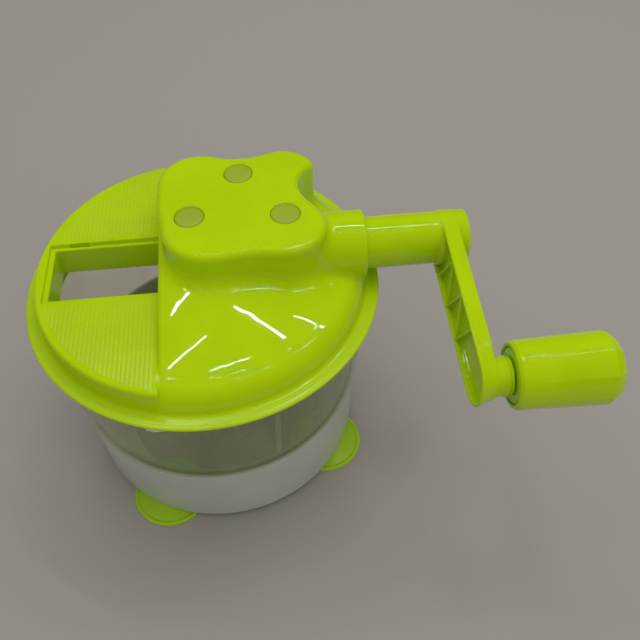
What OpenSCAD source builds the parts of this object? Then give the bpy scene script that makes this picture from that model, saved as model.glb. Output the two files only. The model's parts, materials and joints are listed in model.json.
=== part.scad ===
// Hand-cranked rotary food cutter.
// A clear bowl stands in a base ring on four suction feet. The lid carries a flat
// cutting platform with an open slot for a blade insert, and a dome with a bevel
// gear drive that turns a three-blade rotor in the bowl.
//
// Frame: millimetres, +Z up, origin on the table at the bowl's axis.
// The crank's shaft points along +X, and its lever points to -Y.

/* [Base and feet] */
// Radius of the base ring's outer wall at the bottom
base_r = 70.6; // [69.6:0.2:71]
// Height of the base ring's underside above the table
base_z = 3.2; // [3.2:0.1:3.4]
// Height of the base ring's top edge
base_top = 45.2; // [44:0.2:46]
// Radius of one suction foot
foot_r = 19.5; // [18:0.5:20]
// Distance from the bowl's axis to a foot's centre
foot_pitch_r = 61.5; // [60.5:0.5:62]
// Direction of the first foot, seen from above
foot_angle = -30; // [-45:5:-15]

/* [Bowl] */
// Radius of the bowl's rim
rim_r = 79.2; // [78.8:0.2:79.4]
// Height of the bowl's rim
rim_z = 101.8; // [101.4:0.1:101.9]
// Thickness of the bowl's wall
bowl_wall = 2.4; // [2.2:0.1:2.5]
// Direction of the first moulded rib in the bowl's wall
bowl_rib_angle = -67; // [-80:1:-60]

/* [Lid] */
// Radius of the lid's flange, the widest round part
flange_r = 82; // [81.4:0.2:83]
// Height of the flange's top
flange_z = 105; // [104.8:0.1:105.2]
// Radius of the wall that rises from the flange
lid_r = 75.3; // [75:0.1:75.6]
// Height of the flat platform
platform_z = 116.8; // [116:0.2:117.4]
// Place of the edge between the platform and the dome
chord_x = -18; // [-18.4:0.2:-17.8]
// Height of the dome at the bowl's axis
dome_z = 127; // [126.6:0.2:127.4]
// Thickness of the lid's shell
shell_t = 2.3; // [2.1:0.1:2.5]
// Length of the insert slot, left to right
slot_l = 52; // [50:1:53]
// Width of the insert slot, front to back
slot_w = 36; // [32:1:38]
// Distance between two ribs of the platform's grip pattern
grip_pitch = 1.8; // [1.6:0.1:2.4]

/* [Gear housing] */
// Height of the gear cover's top
cover_z = 141; // [140.8:0.1:142]
// Height of the crank's axis
crank_z = 121; // [120.8:0.1:121.2]
// Radius of the fixed collar round the crank's shaft
collar_r = 15.5; // [15.3:0.1:15.8]
// Tooth size (module) of the bevel gears at their outer ends
gear_module = 1.3; // [1.2:0.05:1.3]

/* [Crank and grip] */
// Radius of the crank's visible tube
tube_r = 12; // [11.8:0.1:12.2]
// Place of the lever's inner face along the crank's axis
lever_x = 108.8; // [100:0.2:112]
// Thickness of the lever
lever_t = 7.4; // [7:0.2:8]
// Lean of the lever about its own length
lever_lean = 5; // [0:1:6]
// Distance from the crank's axis to the grip's axis
lever_l = 77; // [72:1:80]
// Angle of the lever below the horizontal
lever_drop = 4; // [0:1:20]
// Length of the grip
grip_l = 43; // [40:1:46]
// Radius of the grip at its outer end
grip_r = 15.7; // [15.2:0.1:16]

/* [Rotor] */
// Reach of a blade from the bowl's axis
blade_reach = 52; // [46:1:56]
// Thickness of a blade
blade_t = 1.2; // [1:0.1:1.4]
// Direction of the middle blade at rest
blade_angle = -138; // [-180:1:180]

/* [Hidden] */
$fn = 96;
e = 0.01;                 // overlap that joins two pieces of one moulding
gap = 0.06;               // radial clearance of a running fit

// lid and dome
wall_foot_r = lid_r + 0.8;
dome_sphere_r = 216;      // radius of the dome's crown
shoulder_r = 9;           // radius of the dome's shoulder
tilt = asin((lid_r - shoulder_r) / (dome_sphere_r - shoulder_r));
shoulder_z = dome_z - dome_sphere_r + (dome_sphere_r - shoulder_r) * cos(tilt);
skirt_out = 74;
skirt_in = 71.8;
skirt_z = 94;
rim_seat_z = 102;         // underside of the flange, over the bowl's rim
slot_y = 1;               // the slot's centre line
slot_x0 = chord_x - 0.4 - slot_l;
ledge = 2.4;              // width of the slot's ledge
ledge_drop = 1.5;
chute_z = 100.2;          // lower end of the slot's walls

// bowl
bowl_in_r = 70;           // inner radius of the bowl's wall just above its shoulder
bowl_in_z = 47.6;
bowl_flare = 4.9 / 50.4;  // slope of the wall's inner face
pin_z = 12;               // lower end of the pivot pin

// screws
screw_r = 1.5;
pilot_r = 1.55;           // hole that a screw cuts its thread in
screw_hole_r = 1.7;       // hole that a screw passes through
washer_hole_r = 1.8;

// gear drive
crank_teeth = 24;
pinion_teeth = 12;
crank_pitch_r = gear_module * crank_teeth / 2;
pinion_pitch_r = gear_module * pinion_teeth / 2;
tooth_inner = 11 / crank_pitch_r;   // inner end of the teeth, as a share of the cone
addendum = 0.85 * gear_module;
dedendum = 1.25 * gear_module;
backlash = 0.42;          // taken from each tooth's thickness at the pitch circle
journal_r = 6.5;          // crank's inner journal
block_x0 = 36;            // inner bearing block
block_x1 = 44;
bush_out_r = 13.75;
socket_af = 9.2;          // hexagonal socket, across flats
plate_z = 98.4;
plate_t = 2.8;
plate_x0 = -13;
plate_x1 = 32;
plate_w = 52;
plate_holes = [[-9, -22], [-9, 22], [28, -22], [28, 22]];
plate_hub = 2.2;          // the plate's hub reaches this far below it
bush_r = 9.2;             // outer radius of the pinion's bush
pinion_r = 7.4;           // radius of the pinion's stem
pinion_z = 88;            // lower end of the pinion
well_r = 6.55;
well_depth = 2.3;         // depth of the wells that take the screw plugs
head_depth = 3.8;         // depth of the seats of the screw heads
cover_holes = [[-2.2, 5], [20.2, 32], [40, 2.5]];
post_r = 3.6;
post_foot = 122;
post_top = 135.3;
// the cover's outline is a union of round lobes: x, y and radius
lobes = [[7, 0, 22], [1.8, 29.6, 19], [40.6, 32, 16], [40, -4, 17.6], [22, 22.5, 22],
         [23.5, 1, 20.6], [-2, 15, 15], [36, 13, 14.4]];
cover_round = 3;
cover_t = 2.4;            // thickness of the cover's wall
scoop_r = 13.2;
scoop_x = 60.6;
scoop_y = 22.5;

// crank and grip
arm_end_x = lever_x + lever_t;
boss_end_x = 122.4;
lever_r1 = tube_r + 0.1;
lever_r2 = 11.6;
pocket_depth = 3.6;
grip_y = -lever_l * cos(lever_drop);
grip_z = crank_z - lever_l * sin(lever_drop);
neck_r = 8.1;
neck_end_x = arm_end_x + 7.6;
grip_x0 = arm_end_x + 7.9;
grip_x1 = grip_x0 + grip_l;
spindle_r = 5;            // the spindle on the lever that the grip turns on
spindle_end_x = grip_x1 - 8;
grip_r0 = grip_r - 1.3;   // radius at the inner end

// rotor
rotor_z = 12.8;
hub_r = 13;               // radius of the sleeve's foot, the blades' eyes and the clamp
spacer_r = 12.6;
clamp_t = 2.4;
hex_z = 86;               // lower end of the hexagon
blade_zs = [14.4, 31.6, 50.8];
sleeve_r = 10;
pin_r = 2.97;

// ---------- helpers ----------

// lays a shape that was made along +Z along +X, starting at x
module along_x(x, y = 0, z = 0) {
    translate([x, y, z]) rotate([90, 0, 90]) children();
}

// solid rod along X
module rod_x(x0, x1, r, y = 0, z = crank_z) {
    along_x(x0, y, z) cylinder(r = r, h = x1 - x0);
}

// round ring along Z
module ring(z, h, r_out, r_in) {
    translate([0, 0, z]) difference() {
        cylinder(r = r_out, h = h);
        translate([0, 0, -e]) cylinder(r = r_in, h = h + 2 * e);
    }
}

// round ring along X, about the crank's axis
module ring_x(x0, x1, r_out, r_in, y = 0, z = crank_z) {
    difference() {
        rod_x(x0, x1, r_out, y, z);
        rod_x(x0 - e, x1 + e, r_in, y, z);
    }
}

// outline of a lever: two round ends and the sides between them, the second end at [len, 0]
module lever_outline(r1, r2, len) {
    lean = asin((r1 - r2) / len);
    side1 = r1 - 3 * e;
    side2 = r2 - 3 * e;
    circle(r = r1);
    translate([len, 0]) circle(r = r2);
    polygon([[side1 * sin(lean), side1 * cos(lean)],
             [len + side2 * sin(lean), side2 * cos(lean)],
             [len + side2 * sin(lean), -side2 * cos(lean)],
             [side1 * sin(lean), -side1 * cos(lean)]]);
}

// one bevel gear's section at the outer end of its teeth; cone is its pitch cone's half-angle
module gear_section(teeth, pitch_r, cone) {
    tip = addendum / cos(cone);
    root = dedendum / cos(cone);
    half = PI * gear_module / 4 - backlash / 2;
    slope = tan(20) * cos(cone);
    tip_half = half - tip * slope;
    root_half = half + root * slope;
    step = 360 / teeth;
    polygon([for (i = [0 : teeth - 1], p = [[pitch_r - root, -root_half], [pitch_r + tip, -tip_half],
                                            [pitch_r + tip, tip_half], [pitch_r - root, root_half]])
        let (a = i * step + atan2(p[1], p[0]), r = norm(p)) [r * cos(a), r * sin(a)]]);
}

// teeth that run from far to near, towards the cone's apex at the origin
module bevel_teeth(teeth, pitch_r, apex, cone, far, near) {
    translate([0, 0, far])
        mirror([0, 0, 1])
            linear_extrude(height = far - near, scale = near / far)
                scale(far / apex) gear_section(teeth, pitch_r, cone);
}

// ---------- base ----------

module foot_section() {
    polygon([[0, 1.8], [16.6, 0.6], [17.2, 0], [foot_r - 0.3, 0], [foot_r, 0.3], [foot_r, 0.9],
             [foot_r - 1.3, 1.7], [9, base_z - 0.1], [4, base_z - 0.1], [4, 5.5],
             [5.6, 5.5], [5.6, 6.3], [4.4, 7.3], [0, 7.3]]);
}

module suction_feet() {
    color([0.42, 0.56, 0.08])
        for (i = [0 : 3])
            rotate([0, 0, foot_angle + 90 * i])
                translate([foot_pitch_r, 0, 0])
                    rotate_extrude() foot_section();
}

module base_ring() {
    top_r = base_r + 1.3;
    in_r = 53;
    color([0.9, 0.9, 0.88])
        difference() {
            rotate_extrude()
                polygon([[in_r, base_z], [base_r - 0.8, base_z], [base_r, base_z + 0.8],
                         [top_r, base_top - 0.9], [top_r - 0.5, base_top - 0.2],
                         [top_r - 1.2, base_top], [top_r - 1.9, base_top - 0.4],
                         [top_r - 2.2, base_top - 1.4], [base_r - 2, base_z + 3.4],
                         [base_r - 3.2, base_z + 2.2], [in_r, base_z + 2.2]]);
            for (i = [0 : 3])
                rotate([0, 0, foot_angle + 90 * i])
                    translate([foot_pitch_r, 0, 0])
                        cylinder(r = 4.1, h = 12);
        }
}

// ---------- bowl ----------

// inner radius of the bowl's wall at a height between the shoulder and the rim
function bowl_wall_r(z) = bowl_in_r + (z - bowl_in_z) * bowl_flare;

module bowl() {
    foot_z = 8;
    floor_z = foot_z + bowl_wall;
    shoulder = base_top + 1.4;
    rib_z0 = 50;
    rib_z1 = 90;
    color([0.85, 0.9, 0.88, 0.4]) {
        difference() {
            rotate_extrude()
                polygon([[0, foot_z], [59, foot_z], [63.4, foot_z + 1.2], [66.2, foot_z + 4],
                         [67.3, foot_z + 8], [69.1, base_top - 0.8], [69.5, base_top + 0.2],
                         [71.8, base_top + 0.2], [72.5, shoulder], [77.3, rim_z - 2.4],
                         [77.8, rim_z - 1.8], [rim_r - 0.3, rim_z - 1.8], [rim_r, rim_z - 1.5],
                         [rim_r, rim_z - 0.3], [rim_r - 0.3, rim_z], [75.7, rim_z],
                         [75.3, rim_z - 0.4], [bowl_wall_r(98), 98], [bowl_wall_r(48.6), 48.6],
                         [69.2, 46.9], [67.2, 45.6], [66.6, 44], [64.9, foot_z + 8.4],
                         [64, foot_z + 5.4], [62, foot_z + 3.2], [58.4, floor_z], [38.6, floor_z],
                         [37.4, floor_z + 1], [9, floor_z + 1], [6.9, floor_z + 2.6],
                         [6.5, 20], [0, 20]]);
            translate([0, 0, pin_z]) cylinder(r = pin_r + 0.03, h = 20);
        }
        for (i = [0 : 3])
            rotate([0, 0, bowl_rib_angle + 90 * i - 0.8])
                rotate_extrude(angle = 1.6)
                    polygon([[bowl_wall_r(rib_z0) - 1.3, rib_z0], [bowl_wall_r(rib_z0) + 0.8, rib_z0],
                             [bowl_wall_r(rib_z1) + 0.8, rib_z1], [bowl_wall_r(rib_z1) - 0.2, rib_z1]]);
    }
}

module pivot_pin() {
    color("silver")
        translate([0, 0, pin_z])
            rotate_extrude()
                polygon([[0, 0], [pin_r, 0], [pin_r, 13.6], [1.8, 15], [0, 15.4]]);
}

// ---------- rotor ----------

module rotor_sleeve() {
    color([0.92, 0.92, 0.9])
        difference() {
            union() {
                translate([0, 0, rotor_z]) cylinder(r = hub_r, h = blade_zs[0] - rotor_z);
                translate([0, 0, rotor_z]) cylinder(r = sleeve_r, h = blade_zs[2] + blade_t - rotor_z);
            }
            translate([0, 0, rotor_z - e]) cylinder(r = 7.2, h = 20.6 - rotor_z + e);
            cylinder(r = pin_r + gap, h = 29);
            translate([0, 0, 40]) cylinder(r = 5.05, h = 30);
        }
}

// sickle-shaped blade with a round eye, lying on the plane z
module blade(z, angle) {
    arc_r = blade_reach * 0.587;
    width = 11;
    cx = blade_reach / 2;
    cy = sqrt(pow(arc_r, 2) - pow(cx, 2));
    rotate([0, 0, angle])
        translate([0, 0, z])
            linear_extrude(height = blade_t)
                difference() {
                    union() {
                        circle(r = hub_r);
                        difference() {
                            intersection() {
                                translate([cx, -cy]) circle(r = arc_r);
                                translate([0, -30]) square([blade_reach, 60]);
                            }
                            translate([cx, -cy - width]) circle(r = arc_r);
                        }
                    }
                    circle(r = sleeve_r + 0.05);
                }
}

module lower_blade() {
    color("silver") blade(blade_zs[0], blade_angle - 120);
}

module middle_blade() {
    color("silver") blade(blade_zs[1], blade_angle);
}

module upper_blade() {
    color("silver") blade(blade_zs[2], blade_angle + 120);
}

module lower_spacer() {
    color([0.92, 0.92, 0.9])
        ring(blade_zs[0] + blade_t, blade_zs[1] - blade_zs[0] - blade_t, spacer_r, sleeve_r + 0.05);
}

module upper_spacer() {
    color([0.92, 0.92, 0.9])
        ring(blade_zs[1] + blade_t, blade_zs[2] - blade_zs[1] - blade_t, spacer_r, sleeve_r + 0.05);
}

// clamps the blades on the sleeve and carries the hexagon that the lid drives
module rotor_head() {
    clamp_z = blade_zs[2] + blade_t;
    neck_l = hex_z - clamp_z - clamp_t;
    hex_r = (socket_af - 0.3) / sqrt(3);
    color([0.92, 0.92, 0.9]) {
        translate([0, 0, clamp_z - 8]) cylinder(r = 5, h = 8 + e);
        translate([0, 0, clamp_z]) cylinder(r = hub_r, h = clamp_t);
        translate([0, 0, clamp_z + clamp_t - e])
            rotate_extrude() polygon([[0, 0], [11, 0], [7.5, 4], [7, neck_l], [0, neck_l]]);
        translate([0, 0, hex_z - 2 * e]) cylinder(r = hex_r, h = 10, $fn = 6);
    }
}

// ---------- lid ----------

// half-section of the dome, grown inwards by t
module dome_section(t) {
    difference() {
        union() {
            intersection() {
                translate([0, dome_z - dome_sphere_r]) circle(r = dome_sphere_r - t, $fn = 360);
                translate([0, 90]) square([(dome_sphere_r - t) * sin(tilt), 60]);
            }
            translate([lid_r - shoulder_r, shoulder_z]) circle(r = shoulder_r - t);
            translate([0, 90]) square([lid_r - t, shoulder_z - 90]);
            translate([0, 90]) square([lid_r - shoulder_r, shoulder_z - 90 + 3]);
        }
        translate([-20, 80]) square([20, 80]);
    }
}

// skirt inside the bowl's rim, flange over the rim, and the foot of the lid's wall
module flange_section() {
    wall_z = flange_z + 3;
    polygon([[skirt_in, skirt_z], [skirt_out - 0.6, skirt_z], [skirt_out, skirt_z + 0.6],
             [skirt_out, rim_seat_z], [flange_r - 2.4, rim_seat_z], [flange_r - 1.9, rim_seat_z + 0.3],
             [flange_r - 0.6, flange_z - 1.5], [flange_r, flange_z - 1.1], [flange_r, flange_z - 0.7],
             [flange_r - 0.5, flange_z - 0.2], [flange_r - 1.4, flange_z],
             [wall_foot_r + 1.1, flange_z - 0.1], [wall_foot_r + 0.7, flange_z - 0.5],
             [wall_foot_r, flange_z - 0.4], [lid_r, wall_z],
             [lid_r - shell_t, wall_z], [skirt_in, flange_z - 0.6]]);
}

module dome_shell() {
    intersection() {
        difference() {
            rotate_extrude() dome_section(0);
            difference() {
                translate([0, 0, -e]) rotate_extrude() dome_section(shell_t);
                translate([chord_x - 1, -100, 0]) cube([shell_t + 1, 200, 200]);
            }
            translate([0, 0, 60]) cylinder(r = 100, h = flange_z - 61);
        }
        translate([chord_x, -100, 0]) cube([200, 200, 200]);
    }
}

module platform_shell() {
    round_r = 1.2;
    foot_z = flange_z - 0.6;
    difference() {
        rotate_extrude()
            polygon([[0, foot_z], [lid_r, foot_z], [lid_r, platform_z - round_r],
                     [lid_r - 0.35, platform_z - 0.35], [lid_r - round_r, platform_z], [0, platform_z]]);
        translate([0, 0, 100]) cylinder(r = lid_r - shell_t, h = platform_z - shell_t - 100);
        translate([chord_x + shell_t, -100, 90]) cube([200, 200, 60]);
    }
    // closes the platform against the dome below the chord
    intersection() {
        translate([chord_x, -75, foot_z + 1.6]) cube([shell_t, 150, platform_z - foot_z - 1.6]);
        cylinder(r = lid_r, h = 200);
    }
}

// fine ribs that keep the food from sliding sideways, in front of and behind the slot
module platform_ribs() {
    first = slot_x0 + 1.2;
    count = floor((chord_x - 3 - first) / grip_pitch);
    intersection() {
        for (i = [0 : count], side = [-1, 1])
            translate([first + i * grip_pitch, side < 0 ? -75 : slot_y + slot_w / 2 + 2.4,
                       platform_z - e])
                cube([0.8, side < 0 ? 75 + slot_y - slot_w / 2 - 2.4 : 60, 0.35]);
        cylinder(r = lid_r - 2.6, h = 200);
    }
}

module slot_walls() {
    translate([slot_x0 - 1.4 + ledge, slot_y - slot_w / 2 - 1.6 + ledge, chute_z])
        cube([slot_l + 3, slot_w + 3.2 - 2 * ledge, platform_z - 0.3 - chute_z]);
    translate([slot_x0 - 1.6, slot_y - slot_w / 2 - 1.6, platform_z - 4])
        cube([slot_l + 3.2, slot_w + 3.2, 3.7]);
}

module slot_cut() {
    y0 = slot_y - slot_w / 2;
    translate([slot_x0, y0, platform_z - ledge_drop]) cube([slot_l, slot_w, 10]);
    translate([slot_x0 + ledge, y0 + ledge, 90]) cube([slot_l - ledge, slot_w - 2 * ledge, 60]);
    // groove round the ledge, and the notch that the insert's catch snaps into
    translate([slot_x0 + 0.2, y0 + slot_w - 0.8, platform_z - 2.2]) cube([slot_l - 0.2, 0.8, 3]);
    translate([slot_x0 + 9, y0 + slot_w - 0.9, platform_z - 3.4]) cube([8.5, 1.5, 3]);
}

module lid_bearings() {
    rod_x(block_x1, lid_r - 0.3, collar_r);
    translate([block_x0, -10, 110]) cube([block_x1 - block_x0 + e, 20, 134 - 110]);
    for (p = cover_holes)
        translate([p[0], p[1], post_foot]) cylinder(r = post_r, h = post_top - post_foot);
    for (p = plate_holes)
        translate([p[0], p[1], plate_z + plate_t]) cylinder(r = 4, h = 123.4 - plate_z - plate_t);
}

module lid() {
    room_x0 = 3;
    gear_room = 17.6;
    hub_room = 11.2;
    color([0.62, 0.75, 0.08])
        difference() {
            union() {
                rotate_extrude() flange_section();
                dome_shell();
                platform_shell();
                platform_ribs();
                slot_walls();
                lid_bearings();
            }
            slot_cut();
            // room for the bevel gear and the journal
            translate([room_x0, -gear_room, 100]) cube([11.6, 2 * gear_room, 60]);
            translate([room_x0, -hub_room, 100]) cube([block_x0 - room_x0, 2 * hub_room, 60]);
            rod_x(block_x0 - 1, block_x1 + 1, journal_r + gap);
            rod_x(block_x1, lid_r + 1, bush_out_r + 0.05);
            for (p = cover_holes)
                translate([p[0], p[1], 128.6]) cylinder(r = pilot_r, h = 20);
            for (p = plate_holes)
                translate([p[0], p[1], 90]) cylinder(r = pilot_r, h = 24);
        }
}

// ---------- gear housing ----------

// round lobe with a rounded top edge
module lobe(r, top, round_r) {
    rotate_extrude() {
        square([r - round_r, top - 100]);
        square([r, top - 100 - round_r]);
        translate([r - round_r, top - 100 - round_r]) circle(r = round_r);
    }
}

// soft hollow in the cover's right side, behind the crank
module scoop(r) {
    translate([scoop_x, scoop_y, 100]) cylinder(r = r, h = 60);
}

module gear_cover() {
    color([0.62, 0.75, 0.08])
        difference() {
            union() {
                difference() {
                    for (p = lobes)
                        translate([p[0], p[1], 100]) lobe(p[2], cover_z, cover_round);
                    difference() {
                        for (p = lobes)
                            translate([p[0], p[1], 100])
                                cylinder(r = p[2] - cover_t, h = cover_z - cover_t - 100);
                        scoop(scoop_r + cover_t);
                    }
                    scoop(scoop_r);
                }
                for (p = cover_holes)
                    translate([p[0], p[1], post_top + 0.1])
                        cylinder(r = well_r + 1.6, h = cover_z - 1 - post_top);
            }
            // the cover stands on the dome and clears the collar
            translate([0, 0, dome_z - dome_sphere_r]) sphere(r = dome_sphere_r + 0.02, $fn = 360);
            translate([-60, -60, 60]) cube([160, 160, 54]);
            rod_x(block_x1 - 2, 70, collar_r + 0.05);
            for (p = cover_holes) {
                translate([p[0], p[1], cover_z - well_depth]) cylinder(r = well_r, h = 5);
                translate([p[0], p[1], cover_z - head_depth]) cylinder(r = 3.2, h = 5);
                translate([p[0], p[1], 120]) cylinder(r = screw_hole_r, h = 30);
            }
        }
}

module cover_screws() {
    color("silver")
        for (p = cover_holes)
            translate([p[0], p[1], 0]) {
                translate([0, 0, 129.2]) cylinder(r = screw_r, h = 9);
                translate([0, 0, cover_z - head_depth]) cylinder(r = 3, h = 1.4);
            }
}

module screw_plugs() {
    plug_r = well_r - 0.05;
    color([0.6, 0.68, 0.25])
        for (p = cover_holes)
            translate([p[0], p[1], cover_z - well_depth + 0.1])
                rotate_extrude()
                    polygon([[0, 0], [plug_r, 0], [plug_r, 1.5], [plug_r - 0.35, 1.8], [0, 1.8]]);
}

// rectangle with round corners
module plate_outline(corner) {
    x0 = plate_x0 + corner;
    x1 = plate_x1 - corner;
    y1 = plate_w / 2 - corner;
    for (x = [x0, x1], y = [-y1, y1]) translate([x, y]) circle(r = corner);
    translate([x0 - corner, -y1]) square([x1 - x0 + 2 * corner, 2 * y1]);
    translate([x0, -y1 - corner]) square([x1 - x0, 2 * y1 + 2 * corner]);
}

// closes the gear space from below and holds the pinion's bush
module gear_plate() {
    color([0.9, 0.9, 0.88])
        difference() {
            union() {
                translate([0, 0, plate_z]) linear_extrude(height = plate_t) plate_outline(4.5);
                translate([0, 0, plate_z - plate_hub]) cylinder(r = 12, h = 3);
            }
            translate([0, 0, 90]) cylinder(r = bush_r + 0.05, h = 20);
            for (p = plate_holes)
                translate([p[0], p[1], 90]) cylinder(r = screw_hole_r, h = 20);
        }
}

module plate_screws() {
    color("silver")
        for (p = plate_holes)
            translate([p[0], p[1], 0]) {
                translate([0, 0, plate_z - 2]) cylinder(r = 3, h = 2);
                translate([0, 0, plate_z - 1]) cylinder(r = screw_r, h = 16);
            }
}

module spindle_bush() {
    color([0.95, 0.95, 0.93]) {
        ring(plate_z - plate_hub, plate_hub + plate_t + 0.1, bush_r, pinion_r + gap);
        ring(plate_z + plate_t, 1, 11.5, pinion_r + gap);
    }
}

// the pinion's teeth face up to the crank's gear; its lower end drives the rotor
module bevel_pinion() {
    cone = atan(pinion_pitch_r / crank_pitch_r);
    color([0.95, 0.95, 0.93])
        difference() {
            union() {
                translate([0, 0, crank_z])
                    mirror([0, 0, 1])
                        bevel_teeth(pinion_teeth, pinion_pitch_r, crank_pitch_r, cone,
                                    crank_pitch_r + 1, crank_pitch_r * tooth_inner);
                translate([0, 0, plate_z + plate_t + 1.1]) cylinder(r = 9, h = 2.3);
                translate([0, 0, pinion_z]) cylinder(r = pinion_r, h = 16);
            }
            translate([0, 0, pinion_z - e]) cylinder(r = socket_af / sqrt(3), h = 9, $fn = 6);
            // groove for the clip
            ring(plate_z - 3.7, 1.4, 9, 6.6);
        }
}

module pinion_clip() {
    color("silver") ring(plate_z - 3.6, 1.2, 9.6, 6.65);
}

module crank_bush() {
    color([0.95, 0.95, 0.93]) ring_x(50, lid_r - 0.3, bush_out_r, tube_r + gap);
}

// ---------- crank ----------

// outline of the lever's pocket, in the lever's own plane
module pocket_outline() {
    difference() {
        lever_outline(lever_r1 - 2, lever_r2 - 2, lever_l);
        circle(r = tube_r + 1);
    }
}

// zig-zag ribs that stiffen the pocket
module pocket_ribs() {
    first = 15;
    pitch = 9;
    half = 10;
    rib_t = 1.3;
    for (i = [0 : 4]) {
        rise = i % 2 == 0 ? 1 : -1;
        translate([first + (i + 0.5) * pitch, 0]) rotate(rise * atan(2 * half / pitch))
            square([2 * norm([half, pitch / 2]), rib_t], center = true);
    }
}

module lever() {
    difference() {
        linear_extrude(height = lever_t) lever_outline(lever_r1, lever_r2, lever_l);
        translate([0, 0, -e])
            linear_extrude(height = pocket_depth) difference() {
                pocket_outline();
                pocket_ribs();
            }
    }
}

module crank() {
    color([0.62, 0.75, 0.08])
        difference() {
            union() {
                rod_x(block_x1 + 1.2, boss_end_x - 1.2, tube_r);
                rod_x(boss_end_x - 1.2 - e, boss_end_x, tube_r - 1);
                rod_x(8.2, block_x1 + 2, journal_r);
                // lever, open on the side that faces the bowl
                along_x(lever_x, 0, crank_z) rotate(180 + lever_drop)
                    translate([0, 0, lever_t / 2]) rotate([-lever_lean, 0, 0])
                        translate([0, 0, -lever_t / 2]) lever();
                rod_x(arm_end_x - e, neck_end_x, neck_r, grip_y, grip_z);
                // flare between the lever's tip and the neck
                along_x(arm_end_x - e, grip_y, grip_z)
                    cylinder(r1 = lever_r2 - 0.4, r2 = neck_r, h = 3);
                rod_x(neck_end_x - e, spindle_end_x, spindle_r, grip_y, grip_z);
            }
            // flat that keys the gear, groove for the clip and pilot holes for the screws
            translate([8, -10, crank_z + 5.2]) cube([13, 20, 10]);
            ring_x(48, 49.5, tube_r + 1, 11);
            rod_x(8, 22, pilot_r);
            rod_x(spindle_end_x - 16, spindle_end_x + 1, pilot_r, grip_y, grip_z);
        }
}

module crank_clip() {
    color("silver") ring_x(48.1, 49.4, 13.4, 11.05);
}

module bevel_gear() {
    cone = atan(crank_pitch_r / pinion_pitch_r);
    root_slope = pinion_pitch_r / (crank_pitch_r - dedendum / cos(cone));
    back = 0.4;           // depth of the body's cone behind the teeth's roots
    color([0.95, 0.95, 0.93])
        difference() {
            union() {
                // teeth point to -X, half a tooth round from the pinion's
                intersection() {
                    translate([0, 0, crank_z]) rotate([0, 90, 0]) rotate(180 / crank_teeth)
                        bevel_teeth(crank_teeth, crank_pitch_r, pinion_pitch_r, cone, 11.6, 4);
                    ring_x(4, 12.4, 16.2, 11);
                }
                // body behind the teeth's roots
                translate([0, 0, crank_z]) rotate([0, 90, 0])
                    rotate_extrude()
                        polygon([[6, 6.9], [11 + e, 6.9], [11 + e, 11 * root_slope + back],
                                 [16.2, 16.2 * root_slope + back], [16.2, 12.4], [10.5, 12.4],
                                 [10.5, 20], [6, 20]]);
            }
            difference() {
                rod_x(0, 30, journal_r + 0.05);
                translate([0, -10, crank_z + 5.25]) cube([30, 20, 10]);
            }
        }
}

module gear_washer() {
    color("silver") ring_x(5.8, 6.85, 9, washer_hole_r);
}

module gear_screw() {
    color("silver") {
        rod_x(3.4, 5.75, 4);
        rod_x(5.7, 21, screw_r);
    }
}

// ---------- grip ----------

module grip() {
    color([0.62, 0.75, 0.08])
        difference() {
            along_x(grip_x0, grip_y, grip_z)
                rotate_extrude()
                    polygon([[0, 0.4], [11.2, 0.4], [11.4, 1.4], [12, 1.4], [12.2, 0.2], [13, 0],
                             [grip_r0 - 0.4, 0.5], [grip_r0, 1.5], [grip_r, grip_l - 4.4],
                             [grip_r - 0.4, grip_l - 2.4], [grip_r - 2.2, grip_l - 0.6],
                             [grip_r - 3.4, grip_l], [0, grip_l]]);
            rod_x(grip_x0 - 1, grip_x1 + 1, spindle_r + gap, grip_y, grip_z);
            rod_x(spindle_end_x - 0.3, grip_x1 + 1, 7.3, grip_y, grip_z);
            rod_x(grip_x1 - 2, grip_x1 + 1, 9.05, grip_y, grip_z);
        }
}

module grip_washer() {
    color("silver") ring_x(spindle_end_x + 0.05, spindle_end_x + 1.05, 6.8, washer_hole_r, grip_y, grip_z);
}

module grip_screw() {
    color("silver") {
        rod_x(spindle_end_x + 1.1, spindle_end_x + 3.4, 3.6, grip_y, grip_z);
        rod_x(spindle_end_x - 15, spindle_end_x + 1.2, screw_r, grip_y, grip_z);
    }
}

module grip_cap() {
    color([0.62, 0.75, 0.08]) {
        rod_x(grip_x1 - 1.95, grip_x1 - 0.2, 9, grip_y, grip_z);
        ring_x(grip_x1 - 3.6, grip_x1 - 1.9, 7.25, 5.8, grip_y, grip_z);
    }
}

suction_feet();
base_ring();
bowl();
pivot_pin();
rotor_sleeve();
lower_blade();
lower_spacer();
middle_blade();
upper_spacer();
upper_blade();
rotor_head();
lid();
gear_cover();
cover_screws();
screw_plugs();
gear_plate();
plate_screws();
spindle_bush();
bevel_pinion();
pinion_clip();
crank_bush();
crank();
crank_clip();
bevel_gear();
gear_washer();
gear_screw();
grip();
grip_washer();
grip_screw();
grip_cap();
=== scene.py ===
"""Looks of the hand-cranked rotary food cutter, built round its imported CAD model.

Shapes are worked out in millimetres and scaled to metres when their meshes are made.
The soft mouldings (lid, gear cover, crank) are level sets of signed distances that
are joined with fillets and meshed with surface nets. Round parts are lathed.
"""
import json
import math
import bpy
import numpy as np
from mathutils import Matrix, Vector


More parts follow.
